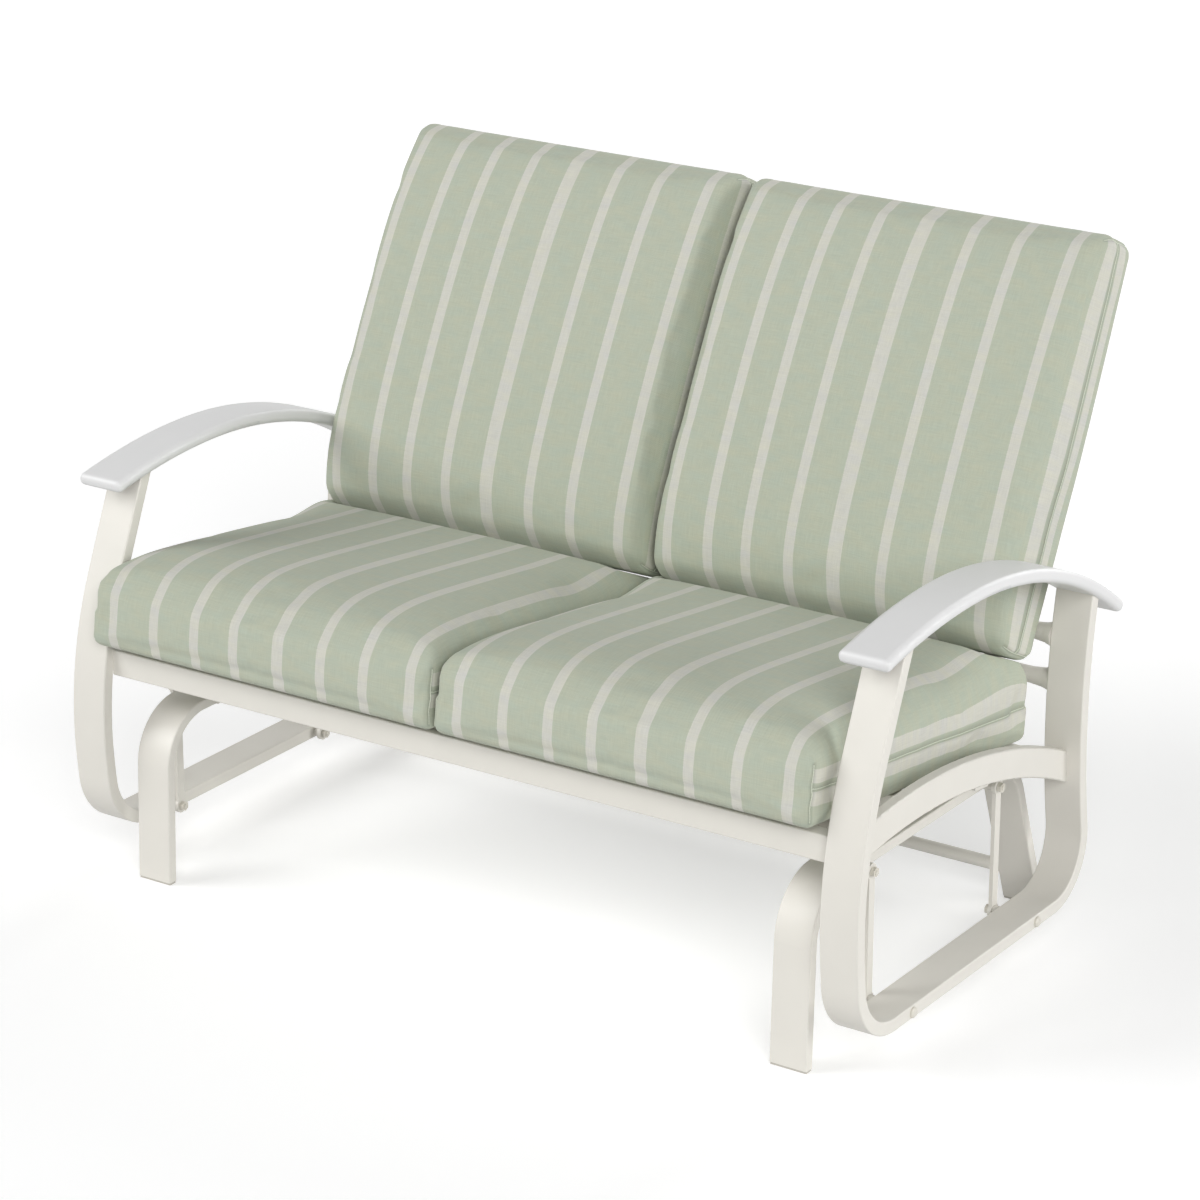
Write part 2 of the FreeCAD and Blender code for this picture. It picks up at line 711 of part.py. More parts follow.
def link(end, side, y, way):
    """A flat link with a round eye at its upper and lower pivots."""
    body = new_body("Link")
    sketch = new_sketch(body, "YZ_Plane")
    half = S.link_width / 2
    lift = math.sqrt(S.link_eye_radius.value**2 - half.value**2)
    low, high = S.loop_rail_z, S.base_rail_z
    low_fit = S.running_fit if end == "front" else S.open_fit
    start = math.pi / 2 + math.asin(half.value / S.link_eye_radius.value)
    eyes = []
    for z, fit, turn in ((low, low_fit, 0), (high, S.running_fit, math.pi)):
        centre = FreeCAD.Vector(y.value, z.value, 0)
        eye = Part.Circle(centre, FreeCAD.Vector(0, 0, 1), S.link_eye_radius.value)
        sweep = Part.ArcOfCircle(eye, start + turn, 3 * math.pi - start + turn)
        curve = sketch.addGeometry(sweep)
        datum(sketch, "Radius", (curve,), S.link_eye_radius)
        pin_point(sketch, curve, 3, y, z)
        eyes.append(curve)
        bore = S.bolt_radius + fit
        hole = sketch.addGeometry(Part.Circle(centre, FreeCAD.Vector(0, 0, 1), bore.value))
        datum(sketch, "Radius", (hole,), bore)
        pin_point(sketch, hole, 3, y, z)
    for edge_y, low_end, high_end in ((y - half, 1, 2), (y + half, 2, 1)):
        foot = FreeCAD.Vector(edge_y.value, low.value + lift, 0)
        head = FreeCAD.Vector(edge_y.value, high.value - lift, 0)
        line = sketch.addGeometry(Part.LineSegment(foot, head))
        sketch.addConstraint(Sketcher.Constraint("Vertical", line))
        sketch.addConstraint(Sketcher.Constraint("Coincident", line, 1, eyes[0], low_end))
        sketch.addConstraint(Sketcher.Constraint("Coincident", line, 2, eyes[1], high_end))
        datum(sketch, "DistanceX", (-1, 1, line, 1), edge_y)
    pad_sketch(body, sketch, S.link_thick)
    place(body, (link_inner_x + S.link_thick / 2) * way)
    keep(body, f"link_{end}_{side}")


def spacer(label, x_near, x_far, y, z, way):
    """A round sleeve on the bolt between a bar and a link."""
    near, far = x_near * way, x_far * way
    profile = [(near, bolt_bore), (near, S.spacer_radius), (far, S.spacer_radius), (far, bolt_bore)]
    place(turned(label, profile), 0, y, z)


def bolt(label, head_x, tail_x, y, z, way, toward):
    """A bolt with a low domed head. Toward is +1 where its head faces outward."""
    crown = (head_x + S.bolt_head_thick * toward) * way
    shoulder = (head_x + S.bolt_head_thick * toward * 0.5) * way
    face = head_x * way
    tail = tail_x * way
    profile = [
        (crown, 0),
        (crown, S.bolt_head_radius * 0.6),
        (shoulder, S.bolt_head_radius),
        (face, S.bolt_head_radius),
        (face, S.bolt_radius),
        (tail, S.bolt_radius),
        (tail, 0),
    ]
    place(turned(label, profile), 0, y, z)


def nut(label, x_near, y, z):
    """A hexagon nut that starts at x_near."""
    prism = doc.addObject("Part::Prism", "Hexagon")
    prism.Polygon = 6
    prism.setExpression("Circumradius", (S.nut_width / math.sqrt(3)).formula)
    prism.setExpression("Height", S.nut_thick.formula)
    place(prism, x_near, y, z, (0, 1, 0), 90)
    bore = cylinder("NutBore", S.bolt_radius, S.nut_thick * 3, x_near - S.nut_thick, y, z)
    keep(boolean("Part::Cut", prism, bore, label), label)


def pivot(end, side, y, way):
    """The hardware of one link's upper and lower pivots."""
    name = f"{end}_{side}"
    low, high = S.loop_rail_z, S.base_rail_z
    nut_in = link_inner_x - S.side_gap - S.nut_thick
    nut_out = link_outer_x + S.side_gap
    spacer(f"spacer_upper_{name}", base_outer_x, link_inner_x - S.side_gap, y, high, way)
    spacer(f"spacer_lower_{name}", loop_inner_x, link_outer_x + S.side_gap, y, low, way)
    tail_out = nut_out + S.nut_thick + S.bolt_tail
    tail_in = nut_in - S.bolt_tail
    bolt(f"bolt_upper_{name}", base_inner_x, tail_out, y, high, way, -1)
    bolt(f"bolt_lower_{name}", S.loop_outer_x, tail_in, y, low, way, 1)
    low_x = nut_in if way > 0 else -(nut_in + S.nut_thick)
    high_x = nut_out if way > 0 else -(nut_out + S.nut_thick)
    nut(f"nut_lower_{name}", low_x, y, low)
    nut(f"nut_upper_{name}", high_x, y, high)


# Cushions: lofts through rounded outlines, from the flat underside over the seam
# to the domed face.


def cushion_outline(half_x, half_y, corner, level, fall):
    """A closed outline of four bowed sides and four corner arcs, falling to the rear."""
    draw = S.cushion_draw.value
    inner_x, inner_y = half_x - corner, half_y - corner
    diagonal = corner * math.sqrt(0.5)
    edges = []
    for turn in range(4):
        swap = turn % 2
        long_x, long_y = (inner_y, half_x) if swap else (inner_x, half_y)
        next_inner = inner_x if swap else inner_y
        points = [
            (long_x, long_y),
            (0, long_y - draw),
            (-long_x, long_y),
            (-long_x - diagonal, next_inner + diagonal),
            (-long_x - corner, next_inner),
        ]
        spin = FreeCAD.Rotation(FreeCAD.Vector(0, 0, 1), 90 * turn)
        flat = [spin.multVec(FreeCAD.Vector(px, py, 0)) for px, py in points]
        a, b, c, d, e = [v + FreeCAD.Vector(0, 0, level - fall * v.y) for v in flat]
        edges += [Part.Arc(a, b, c).toShape(), Part.Arc(c, d, e).toShape()]
    return Part.Wire(edges)


def cushion_profile(over, under, round_under):
    """The steps from a cushion's underside to its crown: how far in and how high."""
    steps = []
    round_over = S.cushion_round_over.value
    shoulder = over - S.cushion_crown.value
    for angle in range(90, -1, -18):
        turn = math.radians(angle)
        inset = round_under * (1 - math.cos(turn))
        steps.append((inset, -under + round_under * (1 - math.sin(turn))))
    for angle in range(0, 81, 16):
        turn = math.radians(angle)
        inset = round_over * (1 - math.cos(turn))
        steps.append((inset, shoulder - round_over * (1 - math.sin(turn))))
    flat = (cushion_width / 2 - S.cushion_corner) / (S.cushion_corner_growth + 1)
    run = flat.value - round_over
    for share in (0.2, 0.5, 0.8):
        rise = 1 - (1 - share) ** 2
        steps.append((round_over + share * run, shoulder + rise * S.cushion_crown.value))
    return steps


def cushion_shape(length, over, under, round_under, fall):
    """A cushion about its seam plane, with its crown along +Z."""
    half_x, half_y = cushion_width.value / 2, length / 2
    wires = []
    for inset, level in cushion_profile(over, under, round_under):
        corner = S.cushion_corner.value + inset * S.cushion_corner_growth.value
        share = max(level, 0) / over
        lower = level - fall / 2 * share
        slope = fall / length * share
        wires.append(cushion_outline(half_x - inset, half_y - inset, corner, lower, slope))
    return Part.makeLoft(wires, True, True)


def cushion(label, sizes, x, y, z, tilt):
    made = doc.addObject("Part::Feature", "Cushion")
    made.Shape = cushion_shape(*[float(value) for value in sizes])
    turn = FreeCAD.Rotation(FreeCAD.Vector(1, 0, 0), tilt.value)
    spot = FreeCAD.Vector(x.value, (S.glide_middle_y + y).value, z.value)
    made.Placement = FreeCAD.Placement(spot, turn)
    keep(made, label)


def cushions():
    """Seat cushions on the deck, and back cushions between them and the back tubes."""
    seat = (
        S.seat_cushion_length,
        S.seat_cushion_over,
        S.seat_cushion_under,
        S.seat_cushion_rounding,
        S.seat_cushion_fall,
    )
    back = (
        S.back_cushion_length,
        S.back_cushion_over,
        S.back_cushion_under,
        S.back_cushion_rounding,
        0,
    )
    seat_y = S.seat_cushion_y
    lift = (S.seat_cushion_under + S.rest_gap) / cosine(S.deck_tilt)
    seat_z = S.deck_z - seat_y * sine(S.deck_tilt) / cosine(S.deck_tilt) + lift
    lean = UPRIGHT - S.upright_lean
    tube_y, tube_z = back_tube_place(0)
    along = S.back_cushion_length / 2 - S.back_cushion_drop
    off = S.tube_radius + S.rest_gap + S.back_cushion_under
    back_y, back_z = shifted((tube_y + cosine(lean) * along, tube_z + sine(lean) * along), lean, off)
    for side, way in SIDES:
        x = (cushion_width + S.cushion_split) / 2 * way
        cushion(f"seat_cushion_{side}", seat, x, seat_y, seat_z, -S.deck_tilt)
        cushion(f"back_cushion_{side}", back, x, back_y, back_z, lean)


def build():
    for side, way in SIDES:
        side_loop(side, loop_x * way)
        arm(side, loop_x * way)
        rail_x = (seat_rail_outer_x - S.seat_rail_thick / 2) * way
        seat_rail(side, rail_x, loop_x * way)
        base_side(side, base_x * way)
        foot_glide(f"foot_front_{side}", base_x * way, front_leg)
        foot_glide(f"foot_rear_{side}", base_x * way, rear_leg)
        for end, y in ENDS:
            link(end, side, y, way)
            pivot(end, side, y, way)
    front_rail()
    rear_tube("rear_tube_lower", S.rear_tube_low_z)
    rear_tube("rear_tube_upper", S.rear_tube_high_z)
    for number in range(4):
        deck_slat(number)
    for name, way in (("left", -1), ("middle", 0), ("right", 1)):
        upright(f"back_upright_{name}", upright_x * way)
    for number in range(3):
        back_tube(number)
    leg_y, leg_z = rear_leg["end"]
    slope = cosine(rear_leg["leave"]) / sine(rear_leg["leave"])
    base_tube("base_tube_rear", leg_y + (S.base_tube_z - leg_z) * slope, S.base_tube_z)
    base_tube("base_tube_middle", size(0), S.base_rail_z)
    cushions()


build()
doc.recompute()

for thing in doc.Objects:
    if "Invalid" in thing.State or "Error" in thing.State:
        raise RuntimeError(f"{thing.Label} ({thing.Name}) is {thing.State}")
labels = [piece.Label for piece in parts]
if len(set(labels)) != len(labels):
    raise RuntimeError("two pieces share a name")
for piece in parts:
    shape = piece.Shape
    if shape.isNull() or not shape.isValid() or len(shape.Solids) != 1:
        raise RuntimeError(f"{piece.Label} isn't one valid solid")

os.makedirs("parts", exist_ok=True)
for piece in parts:
    piece.Shape.exportStep(f"parts/{piece.Label}.step")
box = FreeCAD.BoundBox()
for piece in parts:
    box.add(piece.Shape.BoundBox)
print(len(parts), "pieces,", [round(v, 1) for v in (box.XMin, box.XMax, box.YMin, box.YMax)])
print("height", round(box.ZMin, 1), "to", round(box.ZMax, 1))
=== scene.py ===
"""Glider bench: four sewn cushions, all finishes, the floor, the lights and the camera.

The steel frame, arms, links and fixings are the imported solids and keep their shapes.
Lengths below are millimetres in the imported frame: +X along the seat, +Y to the back
of the bench, +Z up. Each cushion has its own axes from its middle at the seam's
height: x across, y to its rear or upper end, z out of its face. MM turns them to metres.
"""
import json
import math

import bpy
import numpy as np
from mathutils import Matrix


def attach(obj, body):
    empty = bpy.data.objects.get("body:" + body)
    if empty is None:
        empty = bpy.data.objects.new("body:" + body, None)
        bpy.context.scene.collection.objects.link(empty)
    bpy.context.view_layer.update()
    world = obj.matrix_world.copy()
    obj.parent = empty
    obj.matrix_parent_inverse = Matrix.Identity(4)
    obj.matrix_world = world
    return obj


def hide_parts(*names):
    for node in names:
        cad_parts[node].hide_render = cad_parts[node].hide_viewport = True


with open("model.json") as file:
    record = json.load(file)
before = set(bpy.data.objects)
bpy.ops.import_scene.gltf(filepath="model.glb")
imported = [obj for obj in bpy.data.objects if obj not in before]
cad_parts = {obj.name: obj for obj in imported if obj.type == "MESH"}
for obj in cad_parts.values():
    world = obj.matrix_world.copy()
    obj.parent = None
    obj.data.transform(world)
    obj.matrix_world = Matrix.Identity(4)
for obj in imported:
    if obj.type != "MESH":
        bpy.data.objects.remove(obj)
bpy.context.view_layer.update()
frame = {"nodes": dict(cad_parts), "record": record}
scene = bpy.context.scene
MM = 0.001

# Cushions: two on the deck, falling 7.19 degrees to the back, and two that lean back
# 25.85 degrees from upright. "at" is the X of the left and right one, "centre" the Y and
# Z that they share, and "wide" and "half" are half their width and length. "edge" is the
# face's height at its edges, and it swells by "swell" over the distances "spread" from
# the front or lower edge, the rear or upper one and the sides. "side_stripes" are the
# heights of the stripes on the side walls, and upright seams end at the height
# "tuck_top". The seat pair stands a little to the left.
SEAT = {
    "at": {-1: -324.0, 1: 297.5},
    "centre": (-130.5, 393.368),
    "tilt": -7.19,
    "wide": 312.0,
    "half": 307.0,
    "edge": 54.0,
    "under": 58.0,
    "swell": 42.0,
    "spread": (50.0, 25.0, 50.0),
    "side_share": 0.9,
    "level_rear": 0.75,
    "bulge": 0.0,
    "rounding": 30.0,
    "under_rounding": 18.0,
    "side_stripes": (19.0, -14.0),
    "tuck_top": 38.0,
}
BACK = {
    "at": {-1: -306.5, 1: 306.5},
    "centre": (259.7, 718.8),
    "tilt": 64.15,
    "wide": 304.5,
    "half": 312.0,
    "edge": 39.0,
    "under": 60.0,
    "swell": 58.0,
    "spread": (60.0, 120.0, 40.0),
    "side_share": 0.3,
    "level_rear": 0.0,
    "bulge": 4.0,
    "rounding": 30.0,
    "under_rounding": 30.0,
    "side_stripes": (17.0, -17.0),
    "tuck_top": 36.0,
}
# Measures that both kinds share: the grid's steps on the faces and the walls, the steps
# round each rounding, and the power that squares the upright corners.
FACE_STEP = 9.0
WALL_STEP = 7.0
ROUND_STEPS = 6
CORNER_POWER = 3
# Where a levelled face starts to lose its side slopes, and how far that takes.
LEVEL_START = 80.0
LEVEL_RUN = 150.0
# The filling's limits: out of the cover, into it and along it.
FILL_OUT = 5.0
FILL_IN = 3.0
FILL_ALONG = 3.0
CLOTH_FRAMES = 20
# Middles of the woven stripes across a cushion's face, WIDE_ONE being the wide one.
# The cloth spans 420 mm to each side, over the edges and down the walls.
SEAT_STRIPES = (-341.0, -265.0, -187.0, -111.0, -39.0, 40.0, 118.0, 193.5, 272.5)
BACK_STRIPES = (-346.0, -267.0, -194.0, -127.0, -57.0, 20.0, 97.5, 173.0, 259.0)
WIDE_ONE = 5
STRIPE_WIDTH = 16.0
WIDE_STRIPE = 20.5
SIDE_STRIPE_AT = 370.0
SIDE_STRIPE_WIDTH = 21.0
CLOTH_SPAN = 420.0
THREADS_APART = 2.4
STRIPE_WANDER = 1.2
# The seat cushions lie between the side loops' posts, and swell out in front of them.
POST_FRONT_Y = -412.0
POST_INNER_X = 618.5
POST_ROUNDING = 6.0
SEAT_SWELL_OUT = 30.0
# The back cushions pass between the arms, and widen above this height of their own.
ABOVE_ARMS_Y = -125.0
BACK_BETWEEN_ARMS = 300.0
BACK_SWELL_OUT = 5.0
BACK_SWELL_RUN = 150.0
# Half the gap between the left and right cushions of a pair.
MIDDLE_GAP = 5.0
# How deep a seam lies, and the sewn cord on it: its radius, and how far it stands out.
# An upright seam starts SEAM_FOOT above the underside.
SEAM_DEPTH = 2.2
CORD_RADIUS = 0.9
CORD_LIFT = 0.6
SEAM_FOOT = 8.0


def linear(code, share=1.0):
    """An sRGB hex colour, darkened to a share, as linear red, green, blue and alpha."""
    value = np.array([int(code[n : n + 2], 16) for n in (1, 3, 5)]) / 255
    value = np.where(value <= 0.04045, value / 12.92, ((value + 0.055) / 1.055) ** 2.4)
    return (*(value * share).tolist(), 1.0)


def add(tree, kind, links=None, **settings):
    """Add a node. Settings name its properties, and links give its inputs by name or
    number, each a value or the socket that feeds it."""
    node = tree.nodes.new("ShaderNode" + kind)
    for name, value in settings.items():
        setattr(node, name, value)
    for name, value in (links or {}).items():
        if isinstance(value, bpy.types.NodeSocket):
            tree.links.new(value, node.inputs[name])
        else:
            node.inputs[name].default_value = value
    return node


def material(name):
    """An empty node material and its tree."""
    made = bpy.data.materials.new(name)
    made.use_nodes = True
    made.node_tree.nodes.clear()
    return made, made.node_tree


def close(tree, shader):
    """Give the shader to the material's output."""
    add(tree, "OutputMaterial", {"Surface": shader.outputs[0]})


# Finishes


def powder_coat(name, code, roughness):
    """Polyester powder coat over steel tube, baked on: an even satin sheen with a fine
    orange-peel ripple about 3 mm long and slight mottling in tone and gloss."""
    made, tree = material(name)
    place = add(tree, "TexCoord").outputs["Object"]
    peel = add(tree, "TexNoise", {"Vector": place, "Scale": 330.0, "Detail": 2.0})
    cloud = add(tree, "TexNoise", {"Vector": place, "Scale": 14.0, "Detail": 3.0})
    tones = {0: cloud.outputs[0], 6: linear(code), 7: linear(code, 0.94)}
    tone = add(tree, "Mix", tones, data_type="RGBA")
    ripple = add(
        tree, "Bump", {"Height": peel.outputs[0], "Strength": 0.05, "Distance": 0.0006}
    )
    gloss = add(
        tree,
        "MapRange",
        {0: cloud.outputs[0], 1: 0.3, 2: 0.7, 3: roughness - 0.05, 4: roughness + 0.06},
    )
    coat = add(
        tree,
        "BsdfPrincipled",
        {
            "Base Color": tone.outputs[2],
            "Roughness": gloss.outputs[0],
            "Normal": ripple.outputs[0],
            "IOR": 1.5,
        },
    )
    close(tree, coat)
    return made


def moulded(name, code, roughness, grain):
    """Moulded polymer with a spark-eroded grain of the given size in millimetres, which
    breaks up its highlights, and a slight drift in tone."""
    made, tree = material(name)
    place = add(tree, "TexCoord").outputs["Object"]
    pits = add(tree, "TexNoise", {"Vector": place, "Scale": 1000 / grain, "Detail": 2.0})
    shade = add(tree, "TexNoise", {"Vector": place, "Scale": 9.0, "Detail": 2.0})
    tones = {0: shade.outputs[0], 6: linear(code), 7: linear(code, 0.95)}
    tone = add(tree, "Mix", tones, data_type="RGBA")
    relief = add(
        tree, "Bump", {"Height": pits.outputs[0], "Strength": 0.08, "Distance": 0.0005}
    )
    body = add(
        tree,
        "BsdfPrincipled",
        {
            "Base Color": tone.outputs[2],
            "Roughness": roughness,
            "Normal": relief.outputs[0],
            "IOR": 1.49,
        },
    )
    close(tree, body)
    return made


def striped_weave(name, stripes):
    """Solution-dyed acrylic in a plain weave: heathered sage yarns with slubs along both
    threads, crossed by off-white warp stripes. The threads are 0.6 mm apart, and are
    drawn 2.4 mm apart because finer ones don't show. The UV map measures the cloth in
    metres: U across the stripes and V along them. Streaks are counted per metre: 600 is
    a thread's width, 26 to 60 are streaks of 17 to 38 mm. Along the seams the colour is
    darkened as painted shade, standing in for the shade in their creases."""
    made, tree = material(name)
    cloth = add(tree, "UVMap", uv_map="cloth").outputs[0]
    split = add(tree, "SeparateXYZ", {0: cloth})
    across, along = split.outputs[0], split.outputs[1]

    def streaks(by_u, by_v, **settings):
        scaled = {0: cloth, 1: (by_u, by_v, 1.0)}
        spread = add(tree, "VectorMath", scaled, operation="MULTIPLY").outputs[0]
        return add(tree, "TexNoise", {"Vector": spread, "Scale": 1.0, **settings}).outputs[0]

    warp = streaks(600, 40)
    weft = streaks(34, 600)
    dye = streaks(26, 60, Detail=3.0)
    both = add(tree, "Math", {0: warp, 1: weft}, operation="ADD").outputs[0]
    slub = add(tree, "MapRange", {0: both, 1: 0.6, 2: 1.4, 3: 0.93, 4: 1.07}).outputs[0]
    hue = add(tree, "MapRange", {0: dye, 1: 0.25, 2: 0.75}).outputs[0]
    green, pale = (
        add(tree, "Mix", {0: hue, 6: linear(cool), 7: linear(warm)}, data_type="RGBA").outputs[2]
        for cool, warm in (("#AEB7A8", "#B5B8A4"), ("#C6C6C1", "#CBCABC"))
    )

    wandered = {0: weft, 1: STRIPE_WANDER * MM, 2: across}
    place = add(tree, "Math", wandered, operation="MULTIPLY_ADD").outputs[0]
    low, high = ((STRIPE_WANDER / 2 + end * CLOTH_SPAN) * MM for end in (-1, 1))
    share = add(tree, "MapRange", {0: place, 1: low, 2: high}).outputs[0]
    bands = add(tree, "ValToRGB", {0: share})
    band = bands.color_ramp
    band.interpolation = "CONSTANT"
    band.elements[0].color = (0, 0, 0, 1)
    band.elements.remove(band.elements[1])
    widths = [STRIPE_WIDTH] * len(stripes) + [SIDE_STRIPE_WIDTH]
    widths[WIDE_ONE] = WIDE_STRIPE
    for spot, width in zip((*stripes, SIDE_STRIPE_AT), widths):
        for edge, level in ((spot - width / 2, 1.0), (spot + width / 2, 0.0)):
            stop = band.elements.new((edge + CLOTH_SPAN) / CLOTH_SPAN / 2)
            stop.color = (level, level, level, 1)
    dyed = {0: bands.outputs[0], 6: green, 7: pale}
    colour = add(tree, "Mix", dyed, data_type="RGBA").outputs[2]
    # Painted shade: along the seams the colour is darkened to 0.72, standing in for the shade in
    # their creases.
    painted_seam_shade = add(tree, "Attribute", attribute_name="painted_seam_shade").outputs["Fac"]
    seam_shade_level = add(tree, "MapRange", {0: painted_seam_shade, 3: 1.0, 4: 0.72}).outputs[0]
    tone = add(tree, "Math", {0: seam_shade_level, 1: slub}, operation="MULTIPLY").outputs[0]
    toned = {0: 1.0, 6: colour, 7: tone}
    shaded = add(tree, "Mix", toned, data_type="RGBA", blend_type="MULTIPLY")

    def threads(socket):
        turns = {0: socket, 1: 2 * math.pi / (THREADS_APART * MM)}
        turn = add(tree, "Math", turns, operation="MULTIPLY").outputs[0]
        return add(tree, "Math", {0: turn}, operation="SINE").outputs[0]

    crossed = {0: threads(across), 1: threads(along)}
    crossing = add(tree, "Math", crossed, operation="MULTIPLY").outputs[0]
    heights = {0: crossing, 1: 0.35, 2: both}
    relief = add(tree, "Math", heights, operation="MULTIPLY_ADD").outputs[0]
    raised = add(tree, "Bump", {"Height": relief, "Strength": 0.3, "Distance": 0.0008})
    fibre = add(
        tree,
        "BsdfPrincipled",
        {
            "Base Color": shaded.outputs[2],
            "Roughness": 0.92,
            "Normal": raised.outputs[0],
            "Specular IOR Level": 0.25,
            "Sheen Weight": 0.12,
            "Sheen Roughness": 0.5,
        },
    )
    close(tree, fibre)
    return made


def sewing_thread(name, code):
    """Bonded polyester sewing thread: smooth, slightly shiny, and paler than the cloth."""
    made, tree = material(name)
    place = add(tree, "TexCoord").outputs["Object"]
    ply = add(tree, "TexNoise", {"Vector": place, "Scale": 600.0})
    tones = {0: ply.outputs[0], 6: linear(code), 7: linear(code, 0.8)}
    tone = add(tree, "Mix", tones, data_type="RGBA")
    yarn = add(tree, "BsdfPrincipled", {"Base Color": tone.outputs[2], "Roughness": 0.55})
    close(tree, yarn)
    return made


# Meshes


def new_piece(name, points, faces, finish, smooth=True):
    """A mesh object at the origin, with points in metres."""
    mesh = bpy.data.meshes.new(name)
    mesh.from_pydata(points.tolist(), [], faces.tolist())
    mesh.polygons.foreach_set("use_smooth", np.full(len(mesh.polygons), smooth))
    mesh.materials.append(finish)
    piece = bpy.data.objects.new(name, mesh)
    scene.collection.objects.link(piece)
    return piece


def mesh_points(mesh):
    """All vertices of a mesh as an array of rows."""
    flat = np.empty(len(mesh.vertices) * 3)
    mesh.vertices.foreach_get("co", flat)
    return flat.reshape(-1, 3)


def stations(low, high, radius, spacing, through=None):
    """Grid values along one side of a rounded box, and the cloth's length up to each.
    The flat stretch is divided evenly, with a value at "through" if that is given, and
    each rounding by equal angles up to 45 degrees: at the angle t, the wall before it is
    drawn in stands at radius * tan(t), and radius * t of cloth lies round the bend."""
    angle = np.linspace(0, math.pi / 4, ROUND_STEPS + 1)[1:]
    outer = radius * np.tan(angle)
    inner_low, inner_high = low + radius, high - radius
    marks = [inner_low, inner_high] if through is None else [inner_low, through, inner_high]
    runs = [
        np.linspace(a, b, max(2, round((b - a) / spacing) + 1))[:-1]
        for a, b in zip(marks, marks[1:])
    ]
    flat = np.append(np.concatenate(runs), inner_high)
    value = np.concatenate([(inner_low - outer)[::-1], flat, inner_high + outer])
    wrapped = radius * angle
    cloth = np.concatenate([(inner_low - wrapped)[::-1], flat, inner_high + wrapped])
    return value, cloth


def box_walls(kind, cloth):
    """The six gridded walls of a box as quads of grid numbers, with the cloth's place at
    each quad corner. On the faces and the front the cloth runs on along its length. On
    the sides it is turned, so that its stripes run along the cushion's edges."""
    count = [len(lengths) for lengths in cloth]
    quads, lengths = [], []
    for axis in range(3):
        a, b = [n for n in range(3) if n != axis]
        steps = np.arange(count[a] - 1), np.arange(count[b] - 1)
        first, second = np.meshgrid(*steps, indexing="ij")
        for end in (0, 1):
            corner = np.zeros((first.size, 4, 3), int)
            corner[:, :, axis] = end * (count[axis] - 1)
            for n, (da, db) in enumerate(((0, 0), (1, 0), (1, 1), (0, 1))):
                corner[:, n, a] = first.ravel() + da
                corner[:, n, b] = second.ravel() + db
            if (axis == 1) != (end == 0):
                corner = corner[:, ::-1]
            u, v, level = (cloth[n][corner[..., n]] for n in range(3))
            facing = np.sign(end - 0.5)
            if axis == 0:
                upper = level.mean(1, keepdims=True) > 0
                over, under = kind["side_stripes"]
                u = facing * (SIDE_STRIPE_AT + np.where(upper, over - level, level - under))
            if axis == 1:
                v = facing * (kind["half"] + kind["edge"] - level)
            quads.append(corner.reshape(-1, 3))
            lengths.append(np.stack([u, v], -1).reshape(-1, 2))
    return np.concatenate(quads), np.concatenate(lengths)


def rounded_box(kind):
    """The closed grid of a cushion before it is crowned and filled. The walls of a box
    are drawn in to a rounding: a point goes to the nearest point i of the inner box plus
    radius * a / n, where a is its way from i and n = sqrt((ax^p + ay^p)^(2/p) + az^2),
    and p keeps the upright corners squarer than round ones. Returns points, ways out,
    quads, cloth lengths, the grid numbers of every point, and the grid's values."""
    radius = kind["rounding"]
    sides = (
        stations(-kind["wide"], kind["wide"], radius, FACE_STEP),
        stations(-kind["half"], kind["half"], radius, FACE_STEP),
        stations(-kind["under"], kind["edge"], radius, WALL_STEP, 0.0),
    )
    grid, cloth = zip(*sides)
    corners, lengths = box_walls(kind, cloth)
    key = (corners[:, 0] * len(grid[1]) + corners[:, 1]) * len(grid[2]) + corners[:, 2]
    _, first_use, index = np.unique(key, return_index=True, return_inverse=True)
    cells = corners[first_use]
    wall = np.stack([grid[n][cells[:, n]] for n in range(3)], -1)
    radius = np.where(wall[:, 2:] >= 0, kind["rounding"], kind["under_rounding"])
    low = np.array([values[0] for values in grid]) + radius
    high = np.array([values[-1] for values in grid]) - radius
    inner = np.clip(wall, low, high)
    away = wall - inner
    level = (np.abs(away[:, :2]) ** CORNER_POWER).sum(1, keepdims=True) ** (1 / CORNER_POWER)
    points = inner + radius * away / np.hypot(level, away[:, 2:])
    outward = away / np.linalg.norm(away, axis=1, keepdims=True)
    return points, outward, index.reshape(-1, 4), lengths, cells, grid


def to_bench(points, kind, side):
    """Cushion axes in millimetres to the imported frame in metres."""
    turn = math.radians(kind["tilt"])
    y, z = kind["centre"]
    out = np.empty_like(points)
    out[:, 0] = points[:, 0] + kind["at"][side]
    out[:, 1] = y + points[:, 1] * math.cos(turn) - points[:, 2] * math.sin(turn)
    out[:, 2] = z + points[:, 1] * math.sin(turn) + points[:, 2] * math.cos(turn)
    return out * MM


def from_bench(points, kind, side):
    """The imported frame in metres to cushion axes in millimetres."""
    turn = math.radians(kind["tilt"])
    moved = points / MM - np.array([kind["at"][side], *kind["centre"]])
    out = moved.copy()
    out[:, 1] = moved[:, 1] * math.cos(turn) + moved[:, 2] * math.sin(turn)
    out[:, 2] = -moved[:, 1] * math.sin(turn) + moved[:, 2] * math.cos(turn)
    return out


